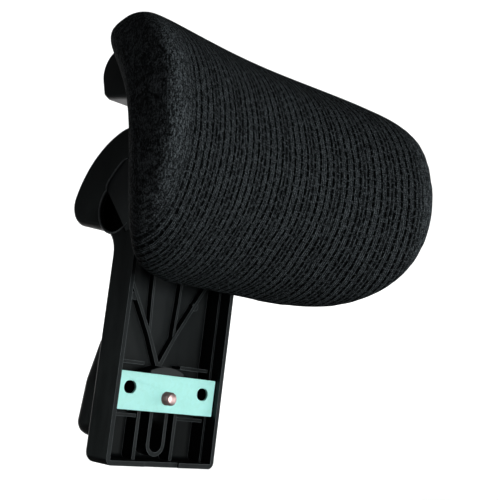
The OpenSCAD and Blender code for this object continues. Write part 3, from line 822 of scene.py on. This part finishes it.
def puff(piece, cap, held):
    """Swells the cover by cloth simulation, outward by no more than cap: the foam stops it inward."""
    rest = read_points(piece)
    normals = np.empty(rest.size)
    piece.data.vertices.foreach_get("normal", normals)
    normals = normals.reshape(-1, 3)
    group = piece.vertex_groups.new(name="held")
    group.add([int(i) for i in np.nonzero(held)[0]], 1.0, "REPLACE")
    cloth = piece.modifiers.new("cloth", "CLOTH")
    cloth.settings.quality = 6
    cloth.settings.mass = 0.25
    cloth.settings.tension_stiffness = 15
    cloth.settings.compression_stiffness = 15
    cloth.settings.shear_stiffness = 5
    cloth.settings.bending_stiffness = 0.5
    cloth.settings.use_pressure = True
    cloth.settings.uniform_pressure_force = 9
    cloth.settings.vertex_group_mass = "held"
    cloth.settings.effector_weights.gravity = 0
    cloth.collision_settings.use_collision = False
    scene = bpy.context.scene
    for at in range(1, PUFF_FRAMES + 1):
        scene.frame_set(at)
    settle(piece)
    scene.frame_set(1)
    piece.vertex_groups.clear()
    out = np.maximum(np.sum((read_points(piece) - rest) * normals, axis=1), 0)
    write_points(piece, rest + normals * (cap * np.tanh(out / cap))[:, None])


def add_subdivision(piece, levels):
    division = piece.modifiers.new("finer", "SUBSURF")
    division.levels = levels
    division.render_levels = levels
    return settle(piece)


def store_cloth_coordinates(piece):
    """Stores where each point lies on the knit, in millimetres, and the plain band at the two ends.

    The lengths run along the pillow's own surface: across it on its front line, and round each section
    from that line. Each point takes them from the nearest place on that surface.
    """
    grid = pillow_grid(0)
    rings, n_v = grid.shape[:2]
    front = (grid[:, n_v // 2 - 1] + grid[:, n_v // 2]) / 2
    across = np.concatenate([[0], np.cumsum(np.linalg.norm(np.diff(front, axis=0), axis=1))])
    across -= across[rings // 2]
    looped = np.concatenate([grid, grid[:, :1]], axis=1)
    around = np.cumsum(np.linalg.norm(np.diff(looped, axis=1), axis=2), axis=1)
    around = np.concatenate([np.zeros((rings, 1)), around], axis=1)
    around -= around[:, n_v // 2:n_v // 2 + 1]
    width = n_v + 1
    places = [Vector(p) for p in to_row(looped.reshape(-1, 3))]
    cells = []
    for i in range(rings - 1):
        for j in range(n_v):
            a, b = i * width + j, (i + 1) * width + j
            cells += [(a, b, b + 1), (a, b + 1, a + 1)]
    tree = BVHTree.FromPolygons(places, cells)
    values = np.stack([np.repeat(across, width), around.ravel()], axis=1)
    plain_band = (PLAIN_FROM * HALF_LENGTH, PLAIN_TO * HALF_LENGTH)
    plain_from, plain_to = np.interp(plain_band, grid[:, 0, 0], across)
    cloth = []
    for vertex in piece.data.vertices:
        spot, _, cell, _ = tree.find_nearest(vertex.co)
        corners = cells[cell]
        weights = interpolate.poly_3d_calc([places[i] for i in corners], spot)
        x, y = np.dot(weights, values[list(corners)])
        cloth.append((x, y, min(1.0, max(0.0, (abs(x) - plain_from) / (plain_to - plain_from)))))
    layer = piece.data.attributes.new("cloth", "FLOAT_VECTOR", "POINT")
    layer.data.foreach_set("vector", np.array(cloth, np.float32).ravel())


def build_cover():
    piece = pillow_body("pillow_cover", inset=COVER_INSET)
    even_quads(piece, QUAD_SIZE, pillow_body("cover_surface", inset=COVER_INSET))
    local = to_pillow(read_points(piece))
    near_shell = panel_distance(local[:, 0], local[:, 2], SHELL_HALF, SHELL_LOW, SHELL_HIGH, SHELL_CORNER)
    behind = local[:, 1] > -WRAP * (local[:, 0] / HALF_LENGTH) ** 2 + REAR_ETA
    puff(piece, PUFF_CAP, (near_shell < HELD_BAND) & behind)
    add_subdivision(piece, 2)
    seat = SHELL_ETA - SHELL_THICK - SEAT_GAP
    local = press_back(to_pillow(read_points(piece)), seat, WELL_GAP, COVER_ROLL)
    write_points(piece, to_row(local))
    store_cloth_coordinates(piece)
    shade(piece, 75)
    finish_piece(piece, "mesh_cover", MATERIALS["mesh_fabric"])
    return piece


def build_foam():
    piece = pillow_body("pillow_foam", inset=SKIN + COVER_INSET)
    even_quads(piece, QUAD_SIZE, pillow_body("foam_surface", inset=SKIN + COVER_INSET))
    add_subdivision(piece, 1)
    local = press_back(to_pillow(read_points(piece)), BOARD_ETA, BOARD_GROW, FOAM_ROLL)
    write_points(piece, to_row(local))
    shade(piece, 75)
    finish_piece(piece, "foam_pad", MATERIALS["foam"])
    return piece


def build_piping():
    """Rolled elastic edge between the cover and the rear shell."""
    out = WELL_GAP / 2
    half, low, high, corner = SHELL_HALF + out, SHELL_LOW - out, SHELL_HIGH + out, SHELL_CORNER + out
    centres = [(half - corner, high - corner, 0), (-half + corner, high - corner, 90),
               (-half + corner, low + corner, 180), (half - corner, low + corner, 270)]
    path = []
    for cx, cz, start in centres:
        for a in np.linspace(start, start + 90, 14):
            path.append((cx + corner * math.cos(math.radians(a)), cz + corner * math.sin(math.radians(a))))
    dense = []
    for (x0, z0), (x1, z1) in zip(path, path[1:] + path[:1]):
        pieces = max(1, int(math.hypot(x1 - x0, z1 - z0) / 3))
        dense += [(x0 + (x1 - x0) * k / pieces, z0 + (z1 - z0) * k / pieces) for k in range(pieces)]
    ring = np.array([(x, float(back_curve(np.array(x), SHELL_ETA - 0.7)), z) for x, z in dense])
    tangent = np.roll(ring, -1, axis=0) - np.roll(ring, 1, axis=0)
    tangent /= np.linalg.norm(tangent, axis=1)[:, None]
    outward_axis = np.cross(tangent, np.array([0.0, 1.0, 0.0]))
    outward_axis /= np.linalg.norm(outward_axis, axis=1)[:, None]
    up_axis = np.cross(outward_axis, tangent)
    sides, radius = 12, 1.15
    points = []
    for centre, right, up in zip(ring, outward_axis, up_axis):
        for k in range(sides):
            a = 2 * math.pi * k / sides
            points.append(centre + radius * (math.cos(a) * right + math.sin(a) * up))
    n = len(ring)
    faces = [(i * sides + k, i * sides + (k + 1) % sides, ((i + 1) % n) * sides + (k + 1) % sides,
              ((i + 1) % n) * sides + k) for i in range(n) for k in range(sides)]
    piece = new_piece("back_piping", to_row(np.array(points)), faces)
    outward(piece)
    shade(piece, 80)
    return finish_piece(piece, "hem_welt", MATERIALS["welt"])


# ---- Putting it together ----------------------------------------------------------------------------

# Width of the rounded edges of the copied pieces, in millimetres.
EDGE = {"mount_plate": 0.35, "backing_pad": 0.4, "left_access_cap": 0.35, "right_access_cap": 0.35,
        "tilt_link": 0.8, "hinge_bracket": 0.4, "rear_shell": 0.4, "knob_cap": 0.5, "knob_washer": 0.2,
        "tilt_bolt": 0.3, "tilt_nut": 0.3, "hinge_bolt": 0.3, "hinge_nut": 0.3, "core_board": 0.3}
BUILT_HERE = {"support_arm", "hinge_cover", "clamp_knob", "clamp_bolt", "mesh_cover", "foam_pad", "hem_welt"}


arm_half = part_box("support_arm")[1].x
build_arm()
build_lip("left_opening_lip", -arm_half)
build_lip("right_opening_lip", arm_half)
build_hinge_cover()
build_knob()
build_bolt()
build_cover()
build_foam()
build_piping()
for node in sorted(set(frame["nodes"]) - BUILT_HERE):
    refined(node, EDGE.get(node, 0.0) * MM)


# ---- Floor, light and camera ------------------------------------------------------------------------

def build_stage():
    """A wide pale floor that curves up behind the object. It only receives light: it throws none back."""
    look = Look("pale_stage")
    speck = look.noise(look.object_coordinates(), 3, detail=2)
    look.set(Base_Color=look.mix(speck, (0.90, 0.905, 0.91), (0.93, 0.93, 0.93)), Roughness=0.9)
    look.set(Specular_IOR_Level=0.0)
    floor_z = cad_low.z - 0.16
    radius, front_y, back_y, width, wall_h = 0.9, -4.0, 2.6, 6.0, 3.5
    line = [(front_y, floor_z), (back_y - radius, floor_z)]
    line += [(back_y - radius + radius * math.sin(a), floor_z + radius - radius * math.cos(a))
             for a in np.linspace(0, math.pi / 2, 24)[1:]]
    line.append((back_y, floor_z + wall_h))
    points = [(x, y, z) for y, z in line for x in (-width, width)]
    faces = [(2 * i, 2 * i + 1, 2 * i + 3, 2 * i + 2) for i in range(len(line) - 1)]
    floor = new_piece("stage_floor", points, faces)
    floor.rotation_euler.z = math.radians(-30)
    floor.data.materials.append(look.material)
    floor.visible_diffuse = False
    floor.visible_glossy = False
    shade(floor, 60)
    return floor


def area_light(name, place, aim, size, power, colour=(1, 1, 1)):
    data = bpy.data.lights.new(name, "AREA")
    data.shape = "RECTANGLE"
    data.size, data.size_y = size
    data.energy = power
    data.color = colour
    light = bpy.data.objects.new(name, data)
    light.location = place
    light.rotation_euler = (Vector(aim) - Vector(place)).to_track_quat("-Z", "Y").to_euler()
    bpy.context.scene.collection.objects.link(light)
    return light


def build_light(floor):
    """Soft boxes for the object, and a broad light of the floor's own so that it stays pale."""
    middle = (cad_low + cad_high) / 2
    area_light("key", (0.1, -1.55, -0.2), middle, (0.8, 0.8), 41, (0.92, 1.0, 1.0))
    area_light("right", (1.5, -0.7, -0.1), middle, (0.6, 0.9), 5, (0.95, 1.0, 1.0))
    area_light("rear", (0.6, 1.6, 0.0), middle, (1.2, 1.2), 5)
    area_light("side", (-1.5, -0.2, -0.2), middle, (0.5, 0.8), 0.8)
    area_light("behind", (-0.9, 0.9, -0.1), (-0.04, 0.03, 0.06), (0.5, 0.5), 0.65, (0.85, 1.0, 1.0))
    only_floor = bpy.data.collections.new("floor_only")
    only_floor.objects.link(floor)
    wash = bpy.data.objects.new("floor_wash", bpy.data.lights.new("floor_wash", "SUN"))
    wash.data.energy = 4.9
    wash.data.angle = math.radians(60)
    wash.rotation_euler = (math.radians(50), math.radians(-12), 0)
    bpy.context.scene.collection.objects.link(wash)
    wash.light_linking.receiver_collection = only_floor
    world = bpy.data.worlds.new("studio")
    world.use_nodes = True
    bpy.context.scene.world = world
    tree = world.node_tree
    background = tree.nodes["Background"]
    background.inputs["Color"].default_value = (1.0, 1.0, 1.0, 1.0)
    # The sky behind the object is white; its light on the object is dim, as between soft boxes.
    path = tree.nodes.new("ShaderNodeLightPath")
    level = tree.nodes.new("ShaderNodeMapRange")
    level.inputs["To Min"].default_value = 0.05
    level.inputs["To Max"].default_value = 1.0
    tree.links.new(path.outputs["Is Camera Ray"], level.inputs["Value"])
    tree.links.new(level.outputs[0], background.inputs["Strength"])


def build_camera():
    """The view of the object: from the front left, a little below the pillow, rolled clockwise."""
    place = (-0.4010, -0.4591, 0.0077)
    azimuth, elevation, roll = math.radians(-44.80), math.radians(-7.77), math.radians(6.86)
    right = Vector((math.cos(azimuth), math.sin(azimuth), 0))
    back = Vector((math.sin(azimuth) * math.cos(elevation), -math.cos(azimuth) * math.cos(elevation),
                   math.sin(elevation)))
    up = back.cross(right)
    rolled_right = right * math.cos(roll) + up * math.sin(roll)
    rolled_up = up * math.cos(roll) - right * math.sin(roll)
    data = bpy.data.cameras.new("camera")
    data.lens = 72.17
    data.sensor_width = 36
    camera = bpy.data.objects.new("camera", data)
    turn = Matrix((rolled_right, rolled_up, back)).transposed().to_4x4()
    camera.matrix_world = Matrix.Translation(place) @ turn
    bpy.context.scene.collection.objects.link(camera)
    bpy.context.scene.camera = camera


build_light(build_stage())
build_camera()
bpy.context.scene.view_settings.view_transform = "Standard"
